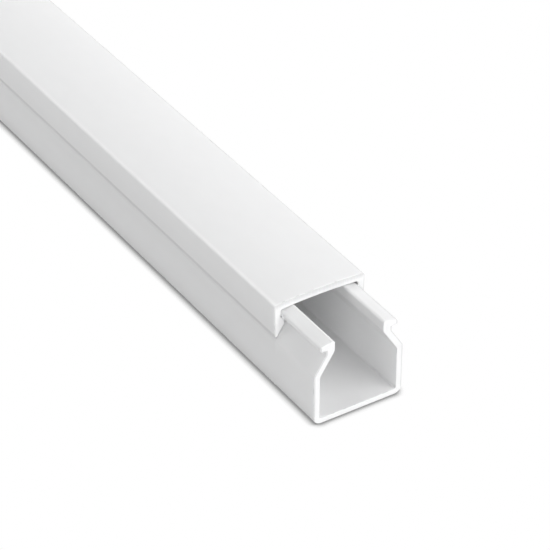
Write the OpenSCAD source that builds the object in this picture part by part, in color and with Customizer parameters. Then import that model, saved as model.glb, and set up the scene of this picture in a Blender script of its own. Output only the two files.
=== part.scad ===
// Mini cable trunking: an extruded channel with hooked lips, and a snap lid that slides along them.
// X runs along the stock, towards the end where the lid is drawn back.
// Y runs across it, and Z goes up from the wall side.

/* [Stock] */
// Length of the base and of the lid
stock_l = 2000; // [200:100:3000]
// How far the lid is drawn back from the near end
lid_setback = 10.8; // [0:0.1:100]

/* [Base] */
// Width across the upright sides
base_w = 16; // [14:0.5:25]
// Height of the lips' inner edges, before they are rounded
base_h = 14.65; // [14.1:0.05:16]
// Thickness of the sides
wall = 1.05; // [0.9:0.05:1.3]
// Thickness of the floor
floor_t = 0.9; // [0.8:0.05:1.4]
// Height at which the sides begin to lean in
shoulder_h = 9.05; // [8.5:0.05:9.6]
// How far each side leans in, from the shoulder to the neck
lean_in = 2.15; // [1.9:0.05:2.5]
// Thickness of the leaning part of the sides
lean_wall = 1.1; // [0.9:0.05:1.3]
// Height of the plain neck under each lip
neck_h = 0.85; // [0.7:0.05:1]
// Thickness of the neck
neck_wall = 1.5; // [1.2:0.05:1.6]
// Thickness of the lips at the mouth
lip_t = 1.4; // [1.2:0.05:1.6]
// How far the top of each lip falls, from the mouth to its outer edge
lip_fall = 0.5; // [0:0.05:0.6]

/* [Lid] */
// Thickness of the lid's plate
plate_t = 1.2; // [0.8:0.05:1.5]
// Slope in degrees at which the plate rises from its long edges
crown = 3.1; // [1:0.1:5]
// Radius of the plate's crowned middle, along its underside
crown_r = 100; // [60:5:200]
// Thickness of the lid's flanges, above the barbs
flange_t = 1.2; // [1:0.05:1.4]
// How far the flanges stand proud of the base's sides
flange_proud = 0.2; // [0.15:0.05:0.4]
// How far the flanges lean in, from the plate to the tips
flange_lean = 0.15; // [0:0.05:0.2]
// Height of the flanges' tips above the shoulder
tip_rise = 0.75; // [0.5:0.05:1.1]
// How far each barb stands in from its flange
barb_reach = 0.65; // [0.4:0.05:0.75]
// How far each barb's upper face falls, from its flange to its edge
barb_fall = 0.15; // [0.05:0.05:0.3]

/* [Fit] */
// Least gap between the lips and the plate that lies over them
seat_gap = 0.1; // [0.05:0.05:0.3]
// Gap at each side between a lip and the flange beside it
side_gap = 0.1; // [0.05:0.05:0.25]
// Gap between a barb and the leaning side behind it
barb_gap = 0.1; // [0.05:0.05:0.2]
// Drop from the underside of a lip to the root of the barb that hooks it
hook_gap = 0.1; // [0.05:0.05:0.25]

/* [Edges] */
// Radius of the base's bottom corners
corner_r = 1.3; // [0.5:0.1:1.5]
// Radius of the corners inside the channel
inside_r = 0.3; // [0.2:0.05:0.6]
// Radius of the bends in the sides
bend_r = 1; // [0.5:0.1:1.5]
// Radius under the lips
root_r = 0.3; // [0.2:0.05:0.4]
// Radius of the lips' outer top edges, over which the lid snaps on
lip_r = 0.5; // [0.3:0.05:0.6]
// Radius of the lips' lower edges
hook_r = 0.2; // [0.1:0.05:0.3]
// Radius of the lips' edges along the mouth
mouth_r = 0.4; // [0.3:0.05:0.8]
// Radius of the lid's long top edges
edge_r = 0.55; // [0.2:0.05:0.6]
// Radius where the plate meets the flanges
web_r = 0.4; // [0.2:0.05:0.4]
// Radius of the outer edge of the flanges' tips
tip_r = 0.3; // [0.1:0.05:0.35]
// Radius of the barbs
barb_r = 0.1; // [0.05:0.05:0.15]

/* [Hidden] */

// Largest turn of one step along an arc, in degrees, and its greatest length
arc_step = 15;
step_l = 1.5;

// Heights
lip_z = base_h - lip_t;
neck_z = lip_z - neck_h;
hook_z = lip_z - hook_gap;
tip_z = shoulder_h + tip_rise;

// Half widths
side_x = base_w / 2;
inside_x = side_x - wall;
neck_x = side_x - lean_in;
mouth_x = neck_x - neck_wall;
lid_x = side_x + flange_proud;
flange_x = lid_x - flange_t;
lip_x = flange_x - side_gap;
tip_outer_x = lid_x - flange_lean;
barb_x = flange_x - barb_reach;

// Underside of the plate at the flanges: it clears the lips at the mouth and at their outer edges
plate_z = base_h + seat_gap - min((flange_x - mouth_x) * tan(crown), lip_fall);
edge_z = plate_z - flange_t * tan(crown) + plate_t / cos(crown);

// The crown's arc keeps to this share of the plate
crown_share = 0.8;
crown_round = min(crown_r, crown_share * flange_x / tan(crown));

// The lean, and the heights between which the inner face follows it
lean = atan(lean_in / (neck_z - shoulder_h));
inside_shoulder_z = shoulder_h - (lean_wall / cos(lean) - wall) / tan(lean);
inside_neck_z = inside_shoulder_z + (inside_x - mouth_x) / tan(lean);

// A flange's inner taper runs beside the leaning side, barb_gap away from it, up to the barb's edge
taper_x = side_x + barb_gap / cos(lean);
tip_x = taper_x - tip_rise * tan(lean);
barb_z = shoulder_h + (taper_x - barb_x) / tan(lean);

// A thin tip limits its own rounding, to this share of its thickness
tip_share = 0.75;
tip_round = min(tip_r, tip_share * (tip_outer_x - tip_x));

function unit(v) = v / norm(v);

// Points of a corner that is rounded by an arc touching both of its sides
function rounded_corner(before, corner, after, r) =
    let (
        back = unit(before - corner),
        ahead = unit(after - corner),
        half = acos(back * ahead) / 2,
        centre = corner + unit(back + ahead) * r / sin(half),
        start = corner + back * r / tan(half) - centre,
        turn = sign(cross(ahead, back)) * (180 - 2 * half),
        steps = ceil(max(abs(turn) / arc_step, r * abs(turn) * PI / 180 / step_l))
    )
    [for (i = [0:steps])
        let (a = atan2(start.y, start.x) + turn * i / steps)
        centre + r * [cos(a), sin(a)]];

// Outline through corners of the form [x, z, radius]
function rounded_outline(corners) =
    let (n = len(corners), at = [for (c = corners) [c.x, c.y]])
    [for (i = [0:n - 1])
        each rounded_corner(at[(i + n - 1) % n], at[i], at[(i + 1) % n], corners[i].z)];

// The right half's corners, mirrored and reversed
function left_half(right) =
    [for (i = [len(right) - 1:-1:0]) [-right[i].x, right[i].y, right[i].z]];

// Base: up the outside, round the lip and down the inside
base_half = [
    [side_x, 0, corner_r],
    [side_x, shoulder_h, bend_r],
    [neck_x, neck_z, root_r],
    [neck_x, lip_z, root_r],
    [lip_x, lip_z, hook_r],
    [lip_x, base_h - lip_fall, lip_r],
    [mouth_x, base_h, mouth_r],
    [mouth_x, inside_neck_z, bend_r],
    [inside_x, inside_shoulder_z, bend_r],
    [inside_x, floor_t, inside_r]
];
base_corners = concat(base_half, left_half(base_half));

// Lid: down the outside, round the tip and up past the barb, with a corner for the crown in the middle
lid_half = [
    [lid_x, edge_z, edge_r],
    [tip_outer_x, tip_z, tip_round],
    [tip_x, tip_z, barb_r],
    [barb_x, barb_z, barb_r],
    [barb_x, hook_z - barb_fall, barb_r],
    [flange_x, hook_z, barb_r],
    [flange_x, plate_z, web_r]
];
lid_corners = concat(
    [[0, edge_z + lid_x * tan(crown), crown_round + plate_t]],
    lid_half,
    [[0, plate_z + flange_x * tan(crown), crown_round]],
    left_half(lid_half)
);

// Stock of one section along X, with its middle at x = 0
module extrusion(corners) {
    rotate([90, 0, 90])
        linear_extrude(height = stock_l, center = true)
            polygon(rounded_outline(corners));
}

module base() {
    color("whitesmoke")
        extrusion(base_corners);
}

module lid() {
    color("white")
        translate([-lid_setback, 0, 0])
            extrusion(lid_corners);
}

base();
lid();
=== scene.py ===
import math

import bmesh
import bpy
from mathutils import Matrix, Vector


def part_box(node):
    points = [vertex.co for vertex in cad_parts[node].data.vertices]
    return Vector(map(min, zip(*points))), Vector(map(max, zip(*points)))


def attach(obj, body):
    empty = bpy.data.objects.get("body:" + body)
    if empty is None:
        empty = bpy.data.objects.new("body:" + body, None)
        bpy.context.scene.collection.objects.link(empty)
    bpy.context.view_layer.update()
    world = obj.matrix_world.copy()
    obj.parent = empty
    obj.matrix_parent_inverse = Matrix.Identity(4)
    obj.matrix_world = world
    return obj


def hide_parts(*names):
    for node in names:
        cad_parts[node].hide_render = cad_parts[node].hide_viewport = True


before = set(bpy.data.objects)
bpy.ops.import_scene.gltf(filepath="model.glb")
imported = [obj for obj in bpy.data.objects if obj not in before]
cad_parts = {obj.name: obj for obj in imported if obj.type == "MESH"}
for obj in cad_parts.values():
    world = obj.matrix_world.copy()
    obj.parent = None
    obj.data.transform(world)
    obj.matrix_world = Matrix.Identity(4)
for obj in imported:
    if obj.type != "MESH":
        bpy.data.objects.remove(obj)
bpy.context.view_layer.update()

mm = 0.001
baseLow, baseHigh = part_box("base")
lidLow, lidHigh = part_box("lid")
nearEnd = Vector((baseHigh.x, 0, 0))               # the middle of the near end's back edge
print("frame loaded:", sorted(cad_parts))


# Shader sockets that read as numbers in an expression
class NodeValue:
    def __init__(self, tree, socket=None):
        self.tree = tree
        self.socket = socket

    def make(self, kind, settings=None, inputs=None, output=0):
        node = self.tree.nodes.new(kind)
        for name, value in (settings or {}).items():
            setattr(node, name, value)
        for name, value in (inputs or {}).items():
            if isinstance(value, NodeValue):
                self.tree.links.new(value.socket, node.inputs[name])
            else:
                node.inputs[name].default_value = value
        return NodeValue(self.tree, node.outputs[output] if node.outputs else None)

    def maths(self, operation, first, second=0.0):
        return self.make("ShaderNodeMath", {"operation": operation}, {0: first, 1: second})

    def __add__(self, other):
        return self.maths("ADD", self, other)

    def __radd__(self, other):
        return self.maths("ADD", other, self)

    def __sub__(self, other):
        return self.maths("SUBTRACT", self, other)

    def __rsub__(self, other):
        return self.maths("SUBTRACT", other, self)

    def __mul__(self, other):
        return self.maths("MULTIPLY", self, other)

    def __rmul__(self, other):
        return self.maths("MULTIPLY", other, self)

    def __pow__(self, other):
        return self.maths("POWER", self, other)

    def __abs__(self):
        return self.maths("ABSOLUTE", self)

    def __lt__(self, other):
        return self.maths("LESS_THAN", self, other)

    def __gt__(self, other):
        return self.maths("GREATER_THAN", self, other)


def newMaterial(name):
    material = bpy.data.materials.new(name)
    material.use_nodes = True
    material.node_tree.nodes.clear()
    return material, NodeValue(material.node_tree)


def noise(start, scale, detail):
    place = start.make("ShaderNodeTexCoord", output="Object")
    stretched = start.make("ShaderNodeMapping", None, {"Vector": place, "Scale": scale})
    return start.make("ShaderNodeTexNoise", None, {"Vector": stretched, "Scale": 1.0, "Detail": detail})


# Sockets 6 and 7 are the colours of a Mix node, and its output 2 is the mixed one
def mixColour(start, factor, first, second):
    return start.make("ShaderNodeMix", {"data_type": "RGBA"}, {0: factor, 6: first, 7: second}, output=2)


def grey(tone, share=1.0):
    return (tone[0] * share, tone[1] * share, tone[2] * share, 1)


def along(start, axis):
    place = start.make("ShaderNodeTexCoord", output="Object")
    return start.make("ShaderNodeSeparateXYZ", None, {"Vector": place}, output=axis)


def fade(start, value, full, none):
    return start.make("ShaderNodeMapRange", {"interpolation_type": "SMOOTHSTEP"},
                      {"Value": value, "From Min": full, "From Max": none, "To Min": 1.0, "To Max": 0.0})


# How close a surface is to a line that runs along the stock
def besideLine(start, line, y):
    across = y - line["y"]
    up = along(start, "Z") - line["z"]
    return fade(start, (across * across + up * up) ** 0.5, line["full"], line["none"])


# White plastic, which lets a little light through its thin edges
plastic = {"IOR": 1.5, "Subsurface Weight": 0.6,
           "Subsurface Radius": (1, 1, 1), "Subsurface Scale": 0.6 * mm}


def plasticSurface(start, colour, rough, height, bump):
    normal = start.make("ShaderNodeBump", None, {"Height": height, **bump})
    shader = start.make("ShaderNodeBsdfPrincipled", None,
                        {"Base Color": colour, "Roughness": rough, "Normal": normal, **plastic})
    start.make("ShaderNodeOutputMaterial", None, {"Surface": shader})


# Satin skin, as it leaves the die. A pattern is its scale along, across and up, and its detail
skinFinish = {
    "flow": ((5, 260, 260), 3),                    # slow streaks along the length
    "die": ((0.6, 2400, 2400), 2),                 # fine lines left by the die
    "peel": ((900, 1400, 1400), 1),                # faint unevenness of the cooled skin
    "mottle": ((220, 380, 380), 2),
    "shares": (0.975, 1.02),                       # darkest and palest, as shares of the tone
    "rough": 0.24,
    "bump": {"Strength": 0.08, "Distance": 0.02 * mm},
}

# Painted shade in the seams under the lid's tips, a fainter painted shade around them, and painted shade low
# on the base.
# The fainter shade and the low shade lie only on the outer sides, further out than "outside"
paintedSeamShade = {"y": lidHigh.y - 0.3 * mm, "z": lidLow.z,
            "full": 0.15 * mm, "none": 0.65 * mm, "share": 0.765}
paintedShadeNearSeam = {**paintedSeamShade, "full": 0.6 * mm, "none": 4.5 * mm, "share": 0.96,
            "outside": baseHigh.y - 0.1 * mm}
paintedFloorShade = {"full": 0.2 * mm, "none": 3.5 * mm, "share": 0.9,
             "outside": baseHigh.y - 0.4 * mm}

# Long edges of the lid: a painted highlight on the left one, which is also a little glossier, and painted
# shade on the right one
paintedEdgeHighlight = {"y": lidLow.y + 0.3 * mm, "z": lidHigh.z - 0.33 * mm,
           "full": 0.12 * mm, "none": 0.34 * mm, "share": 1.13}
paintedRightEdgeShade = {"y": lidHigh.y - 0.05 * mm, "z": lidHigh.z - 0.55 * mm,
         "full": 0.3 * mm, "none": 0.55 * mm, "share": 0.79}

# Painted shade of small chips along the saw cuts, where their pattern is low
paintedChipShade = {"pattern": ((300, 800, 500), 1), "chipped": 0.36, "whole": 0.44,
            "full": 0.1 * mm, "none": 0.32 * mm, "share": 0.84}


def extrudedSkin(name, tone, ends):
    s = skinFinish
    material, start = newMaterial(name)
    flow = noise(start, *s["flow"])
    die = noise(start, *s["die"])
    peel = noise(start, *s["peel"])
    mottle = noise(start, *s["mottle"])
    x = along(start, "X")
    y = along(start, "Y")
    out = abs(y)
    covered = x < lidHigh.x
    # painted shade in the seams under the lid's tips, also made rougher there, and a fainter painted shade
    # around them
    seamShade = besideLine(start, paintedSeamShade, out) * covered
    shadeNearSeam = besideLine(start, paintedShadeNearSeam, out) * covered * (out > paintedShadeNearSeam["outside"])
    # painted shade low on the outer sides, darker towards the floor
    low = fade(start, along(start, "Z"), paintedFloorShade["full"], paintedFloorShade["none"]) * (out > paintedFloorShade["outside"])
    # a painted highlight along the lid's left long edge, where the skin is also made glossier
    edgeHighlight = besideLine(start, paintedEdgeHighlight, y)
    fromEnd = (ends[1] - ends[0]) / 2 - abs(x - sum(ends) / 2)
    # painted shade of small chips close to the ends
    chipShade = fade(start, fromEnd, paintedChipShade["full"], paintedChipShade["none"])
    chipShade = chipShade * fade(start, noise(start, *paintedChipShade["pattern"]), paintedChipShade["chipped"], paintedChipShade["whole"])
    paintedShadeAndHighlight = [
        (edgeHighlight, paintedEdgeHighlight),
        # painted shade along the lid's right long edge and the right lip's outer edge
        (besideLine(start, paintedRightEdgeShade, y), paintedRightEdgeShade),
        (besideLine(start, paintedLipEdgeShade, y), paintedLipEdgeShade),
        (shadeNearSeam, paintedShadeNearSeam),
        (low, paintedFloorShade),
        (seamShade, paintedSeamShade),
        (chipShade, paintedChipShade),
    ]
    darkest, palest = s["shares"]
    colour = mixColour(start, flow * 0.4 + mottle * 0.6, grey(tone, darkest), grey(tone, palest))
    # each mask mixes painted shade, or the left edge's painted highlight, into the colour
    for mask, mark in paintedShadeAndHighlight:
        colour = mixColour(start, mask, colour, grey(tone, mark["share"]))
    rough = s["rough"] + flow * 0.08 + die * 0.04 - edgeHighlight * 0.08 + seamShade * 0.2
    plasticSurface(start, colour, rough, die * 0.6 + peel * 0.4, s["bump"])
    return material


# Cut plastic, with painted shade along the lid's top and the outer sides of the cut.
# Each painted shade is full up to its first distance from the edge, and gone at its second
sawnFinish = {
    "marks": ((2000, 3500, 260), 2),               # fine strokes of the saw, down the section
    "fuzz": ((5000, 5000, 5000), 1),
    "markShare": 0.97,
    "topShade": (0.3 * mm, 1.3 * mm),
    "topRagged": 0.5 * mm,
    "outlineShade": (0.14 * mm, 0.3 * mm),
    "endShadeShare": 0.77,
    "rough": 0.5,
    "bump": {"Strength": 0.2, "Distance": 0.03 * mm},
}


def sawnEnd(name, tone, outside):
    s = sawnFinish
    material, start = newMaterial(name)
    marks = noise(start, *s["marks"])
    fuzz = noise(start, *s["fuzz"])
    y = abs(along(start, "Y"))
    z = along(start, "Z")
    crownFall = y * y * (0.5 / lidShape["crownRadius"])      # from the lid's middle towards its edges
    fromTop = lidHigh.z - z - crownFall + marks * s["topRagged"]
    # painted shade near the lid's top and along the outer sides of the cut
    paintedEndShade = start.maths("MAXIMUM", fade(start, fromTop, *s["topShade"]),
                          fade(start, outside(z) - y, *s["outlineShade"]))
    clean = mixColour(start, marks, grey(tone, s["markShare"]), grey(tone))
    colour = mixColour(start, paintedEndShade, clean, grey(tone, s["endShadeShare"]))
    plasticSurface(start, colour, s["rough"] + marks * 0.15, marks * 0.7 + fuzz * 0.3, s["bump"])
    return material


# Selecting in edit mode: "VERT", "EDGE" or "FACE", whichever are wanted
def pick(obj, kind, wanted):
    bpy.ops.mesh.select_mode(type=kind)
    mesh = bmesh.from_edit_mesh(obj.data)
    mesh.normal_update()
    for item in [*mesh.verts, *mesh.edges, *mesh.faces]:
        item.select = False
    for item in {"VERT": mesh.verts, "EDGE": mesh.edges, "FACE": mesh.faces}[kind]:
        if wanted(item):
            item.select = True
    mesh.select_flush_mode()
    bmesh.update_edit_mesh(obj.data)


samePlace = 0.002 * mm


def near(vert, y, z):
    return abs(vert.co.y - y) < samePlace and abs(vert.co.z - z) < samePlace


def runsAlong(edge):
    return abs(edge.verts[0].co.x - edge.verts[1].co.x) > 1 * mm


def facesEnd(face):
    return abs(face.normal.x) > 0.9


def mirrored(half):
    return [(-y, z, radius) for y, z, radius in reversed(half)]


# How finely the stock is stepped, and how its saw cuts are eased
stepping = {
    "arcDegrees": 8,                               # longest step along an arc, as a turn and as a length
    "arcLength": 0.5 * mm,
    "leastSteps": 3,
    "rings": 79,                                   # cross rings, so that no face is a sliver
    "ease": 0.07 * mm,
    "easeSteps": 2,
    "smooth": math.radians(20),                    # a sharper edge stays crisp
}


# One section, drawn corner by corner from a single point and filled, at the near end of the stock
def drawSection(name, corners, endX):
    outline = [corner[:2] for corner in corners]
    bpy.ops.object.select_all(action="DESELECT")
    bpy.ops.mesh.primitive_plane_add(size=mm, location=(0, 0, 0))
    obj = bpy.context.object
    obj.name = name
    obj.data.name = name
    bpy.ops.object.mode_set(mode="EDIT")
    bpy.ops.mesh.select_mode(type="VERT")
    bpy.ops.mesh.select_all(action="SELECT")
    bpy.ops.mesh.merge(type="CENTER")              # the plane shrinks to the first corner
    bpy.ops.transform.translate(value=(endX, *outline[0]))
    for (fromY, fromZ), (toY, toZ) in zip(outline, outline[1:]):
        bpy.ops.mesh.extrude_vertices_move(TRANSFORM_OT_translate={"value": (0, toY - fromY, toZ - fromZ)})
    pick(obj, "VERT", lambda v: near(v, *outline[0]) or near(v, *outline[-1]))
    bpy.ops.mesh.edge_face_add()                   # closes the outline
    bpy.ops.mesh.select_all(action="SELECT")
    bpy.ops.mesh.edge_face_add()                   # and fills it
    return obj


def roundCorners(obj, corners):
    s = stepping
    count = len(corners)
    for i, (y, z, radius) in enumerate(corners):
        here = Vector((y, z))
        back = Vector(corners[i - 1][:2]) - here
        ahead = Vector(corners[(i + 1) % count][:2]) - here
        turn = math.pi - back.angle(ahead)
        bulge = (1 - 0.5 / (1 + math.cos(turn / 2))) ** 2      # the profile that makes the bevel a true arc
        steps = max(s["leastSteps"], round(math.degrees(turn) / s["arcDegrees"]),
                    round(radius * turn / s["arcLength"]))
        pick(obj, "VERT", lambda v: near(v, y, z))
        bpy.ops.mesh.bevel(affect="VERTICES", offset_type="OFFSET", offset=radius * math.tan(turn / 2),
                           segments=steps, profile=bulge)


def drawOut(obj, length):
    s = stepping
    bpy.ops.mesh.select_all(action="SELECT")
    bpy.ops.mesh.extrude_region_move(TRANSFORM_OT_translate={"value": (-length, 0, 0)})
    bpy.ops.mesh.select_all(action="SELECT")
    bpy.ops.mesh.normals_make_consistent(inside=False)
    pick(obj, "EDGE", runsAlong)
    bpy.ops.mesh.subdivide(number_cuts=s["rings"])
    pick(obj, "FACE", facesEnd)
    bpy.ops.mesh.region_to_loop()
    bpy.ops.mesh.bevel(affect="EDGES", offset=s["ease"], segments=s["easeSteps"], profile=0.5)


def makeStock(name, corners, low, high):
    obj = drawSection(name, corners, high.x)
    roundCorners(obj, corners)
    drawOut(obj, high.x - low.x)
    return obj


def finishPiece(obj, skin, end, body, node):
    obj.data.materials.append(skin)
    obj.data.materials.append(end)
    pick(obj, "FACE", facesEnd)
    obj.active_material_index = 1                  # the sawn ends
    bpy.ops.object.material_slot_assign()
    bpy.ops.mesh.select_all(action="DESELECT")
    bpy.ops.object.mode_set(mode="OBJECT")
    bpy.ops.object.shade_smooth_by_angle(angle=stepping["smooth"])
    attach(obj, body)
    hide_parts(node)


baseShape = {
    "mouthHeight": 14.65 * mm,                     # the lips' inner edges before they are rounded
    "wall": 1.05 * mm,
    "floor": 0.9 * mm,
    "shoulder": 9.05 * mm,
    "leanIn": 2.15 * mm,
    "leanWall": 1.1 * mm,
    "neck": 0.85 * mm,
    "neckWall": 1.5 * mm,
    "lip": 1.4 * mm,
    "lipFall": 0.5 * mm,
    "cornerRound": 1.3 * mm,
    "insideRound": 0.3 * mm,
    "bendRound": 1.0 * mm,
    "rootRound": 0.3 * mm,
    "lipRound": 0.5 * mm,
    "hookRound": 0.2 * mm,
    "mouthRound": 0.4 * mm,
    "tone": (0.86, 0.862, 0.865),
    "endTone": (0.84, 0.842, 0.845),
}

lidShape = {
    "plate": 1.2 * mm,
    "crown": math.radians(3.1),
    "crownRadius": 100 * mm,
    "flange": 1.2 * mm,
    "proud": 0.2 * mm,
    "flangeLean": 0.15 * mm,
    "barbReach": 0.65 * mm,
    "barbFall": 0.15 * mm,
    "seatGap": 0.1 * mm,
    "sideGap": 0.1 * mm,
    "barbGap": 0.1 * mm,
    "hookGap": 0.1 * mm,
    "edgeRound": 0.55 * mm,
    "webRound": 0.4 * mm,
    "tipRound": 0.3 * mm,
    "barbRound": 0.1 * mm,
    "tone": (0.87, 0.872, 0.875),
    "endTone": (0.86, 0.862, 0.865),
}

# Where the two sections meet
sideY = baseHigh.y
mouthZ = baseShape["mouthHeight"]
lipTop = mouthZ - baseShape["lipFall"]
lipUnder = mouthZ - baseShape["lip"]
neckZ = lipUnder - baseShape["neck"]
neckY = sideY - baseShape["leanIn"]
mouthY = neckY - baseShape["neckWall"]
lean = math.atan(baseShape["leanIn"] / (neckZ - baseShape["shoulder"]))
lidY = sideY + lidShape["proud"]
flangeY = lidY - lidShape["flange"]
lipY = flangeY - lidShape["sideGap"]

# Painted shade on the right lip's outer edge too
paintedLipEdgeShade = {"y": lipY - 0.1 * mm, "z": lipTop - 0.11 * mm,
            "full": 0.2 * mm, "none": 0.45 * mm, "share": 0.79}


# How far out the base's section reaches at a height, as shader maths
def baseOutside(z):
    leaning = z.maths("MAXIMUM", sideY - (z - baseShape["shoulder"]) * math.tan(lean), neckY)
    return z.maths("MINIMUM", leaning, sideY) + (z > lipUnder) * (lipY - neckY)


def makeBase():
    s = baseShape
    insideY = sideY - s["wall"]
    insideShoulder = s["shoulder"] - (s["leanWall"] / math.cos(lean) - s["wall"]) / math.tan(lean)
    insideNeck = insideShoulder + (insideY - mouthY) / math.tan(lean)
    half = [
        (sideY, 0, s["cornerRound"]),
        (sideY, s["shoulder"], s["bendRound"]),
        (neckY, neckZ, s["rootRound"]),
        (neckY, lipUnder, s["rootRound"]),
        (lipY, lipUnder, s["hookRound"]),
        (lipY, lipTop, s["lipRound"]),
        (mouthY, mouthZ, s["mouthRound"]),
        (mouthY, insideNeck, s["bendRound"]),
        (insideY, insideShoulder, s["bendRound"]),
        (insideY, s["floor"], s["insideRound"]),
    ]
    obj = makeStock("trunking_base", half + mirrored(half), baseLow, baseHigh)
    skin = extrudedSkin("baseSkin", s["tone"], (baseLow.x, baseHigh.x))
    end = sawnEnd("baseSawnEnd", s["endTone"], baseOutside)
    finishPiece(obj, skin, end, "base", "base")
    return obj


def makeLid():
    s = lidShape
    rise = math.tan(s["crown"])
    plateZ = mouthZ + s["seatGap"] - min((flangeY - mouthY) * rise, baseShape["lipFall"])
    edgeZ = plateZ - s["flange"] * rise + s["plate"] / math.cos(s["crown"])
    tipZ = lidLow.z
    taperY = sideY + s["barbGap"] / math.cos(lean)
    tipY = taperY - (tipZ - baseShape["shoulder"]) * math.tan(lean)
    barbY = flangeY - s["barbReach"]
    barbZ = baseShape["shoulder"] + (taperY - barbY) / math.tan(lean)
    hookZ = lipUnder - s["hookGap"]
    half = [
        (lidY, edgeZ, s["edgeRound"]),
        (lidY - s["flangeLean"], tipZ, s["tipRound"]),
        (tipY, tipZ, s["barbRound"]),
        (barbY, barbZ, s["barbRound"]),
        (barbY, hookZ - s["barbFall"], s["barbRound"]),
        (flangeY, hookZ, s["barbRound"]),
        (flangeY, plateZ, s["webRound"]),
    ]
    topMiddle = (0, edgeZ + lidY * rise, s["crownRadius"] + s["plate"])
    underMiddle = (0, plateZ + flangeY * rise, s["crownRadius"])
    corners = [topMiddle] + half + [underMiddle] + mirrored(half)
    obj = makeStock("trunking_lid", corners, lidLow, lidHigh)
    skin = extrudedSkin("lidSkin", s["tone"], (lidLow.x, lidHigh.x))
    end = sawnEnd("lidSawnEnd", s["endTone"], lambda z: lidY)
    finishPiece(obj, skin, end, "lid", "lid")
    return obj


trunkingBase = makeBase()
trunkingLid = makeLid()
print("pieces made:", trunkingBase.name, len(trunkingBase.data.polygons),
      trunkingLid.name, len(trunkingLid.data.polygons))


# Studio: a white floor, a pale sky all round and soft lamps
studio = {
    "floorSize": 160.0,
    "floorTone": 0.75,
    "contactReach": 2.0 * mm,                      # the shadow on the floor, close along the stock
    "contactTilt": math.radians(29),
    "contactOpen": (0.375, 0.76),                  # open share of the floor where it is deepest, and ends
    "contactShade": 0.27,
    "sky": 0.05,
    "lamps": {
        "frontLamp": {"from": Vector((1, -0.4, 0.12)), "strength": 2.4, "spread": math.radians(55)},
        "highLamp": {"from": Vector((0.6, 0.3, 0.7)), "strength": 1.68, "spread": math.radians(50)},
        "rightLamp": {"from": Vector((0, 1, 0.4)), "strength": 1.1, "spread": math.radians(80)},
        "backLamp": {"from": Vector((-0.69, 0.6, 0.49)), "strength": 0.2, "spread": math.radians(25)},
        "leftLamp": {"from": Vector((-0.55, -0.48, 0.68)), "strength": 0.8, "spread": math.radians(28)},
    },
    "mirrored": ("backLamp", "leftLamp"),          # the skin mirrors only these, or it burns out
}


# 1 where the camera looks, straight or by way of gloss or glass
def lookedAt(start):
    seen = start.make("ShaderNodeLightPath", output="Is Camera Ray")
    for ray in ("Is Glossy Ray", "Is Transmission Ray"):
        seen = start.maths("MAXIMUM", seen, start.make("ShaderNodeLightPath", output=ray))
    return seen


def makeFloor():
    s = studio
    bpy.ops.object.select_all(action="DESELECT")
    bpy.ops.mesh.primitive_plane_add(size=s["floorSize"], location=(0, 0, 0))
    floor = bpy.context.object
    floor.name = "floor"
    material, start = newMaterial("paleFloor")
    tilt = start.make("ShaderNodeCombineXYZ", None,
                      {"X": -math.sin(s["contactTilt"]), "Z": math.cos(s["contactTilt"])})
    clear = start.make("ShaderNodeAmbientOcclusion", {"samples": 16},
                       {"Distance": s["contactReach"], "Normal": tilt}, output="AO")
    deepest, ended = s["contactOpen"]
    shade = start.make("ShaderNodeMapRange", {"interpolation_type": "LINEAR"},
                       {"Value": clear, "From Min": deepest, "From Max": ended,
                        "To Min": s["contactShade"], "To Max": 1.0})
    plain = start.make("ShaderNodeBsdfDiffuse", None, {"Color": grey((s["floorTone"],) * 3)})
    white = start.make("ShaderNodeEmission", None, {"Color": shade, "Strength": 1.0})
    both = start.make("ShaderNodeMixShader", None, {0: lookedAt(start), 1: plain, 2: white})
    start.make("ShaderNodeOutputMaterial", None, {"Surface": both})
    material.cycles.emission_sampling = "NONE"     # its white is only looked at, and lights nothing
    floor.data.materials.append(material)


def makeLight():
    world = bpy.data.worlds.new("studioSky")
    bpy.context.scene.world = world
    world.use_nodes = True
    world.node_tree.nodes.clear()
    start = NodeValue(world.node_tree)
    strength = lookedAt(start) * (1 - studio["sky"]) + studio["sky"]
    sky = start.make("ShaderNodeBackground", None, {"Color": (1, 1, 1, 1), "Strength": strength})
    start.make("ShaderNodeOutputWorld", None, {"Surface": sky})
    for name, s in studio["lamps"].items():
        bpy.ops.object.light_add(type="SUN", location=nearEnd + s["from"])
        lamp = bpy.context.object
        lamp.name = name
        lamp.data.energy = s["strength"]
        lamp.data.angle = s["spread"]
        lamp.visible_glossy = name in studio["mirrored"]
        lamp.rotation_mode = "QUATERNION"
        lamp.rotation_quaternion = (-s["from"]).to_track_quat("-Z", "Y")


photoView = {
    "azimuth": math.radians(57.573),
    "elevation": math.radians(35.255),
    "focalPixels": 2682.5,
    "framePixels": 550,
    "endPixel": (357.83, 408.395),                 # where nearEnd is seen
    "distance": 407.42 * mm,
}


def makeCamera():
    v = photoView
    a = v["azimuth"]
    e = v["elevation"]
    back = Vector((math.sin(a) * math.cos(e), -math.cos(a) * math.cos(e), math.sin(e)))
    right = Vector((math.cos(a), math.sin(a), 0))
    up = back.cross(right)
    offset = [(p - v["framePixels"] / 2) / v["focalPixels"] * v["distance"] for p in v["endPixel"]]
    bpy.ops.object.camera_add(location=nearEnd + back * v["distance"] - right * offset[0] + up * offset[1])
    camera = bpy.context.object
    camera.rotation_mode = "QUATERNION"
    camera.rotation_quaternion = (-back).to_track_quat("-Z", "Y")
    camera.data.sensor_width = 36
    camera.data.lens = v["focalPixels"] / v["framePixels"] * camera.data.sensor_width
    camera.data.clip_start = 0.01
    camera.data.clip_end = 200
    bpy.context.scene.camera = camera


makeFloor()
makeLight()
makeCamera()
bpy.context.scene.view_settings.view_transform = "Standard"
print("studio set")
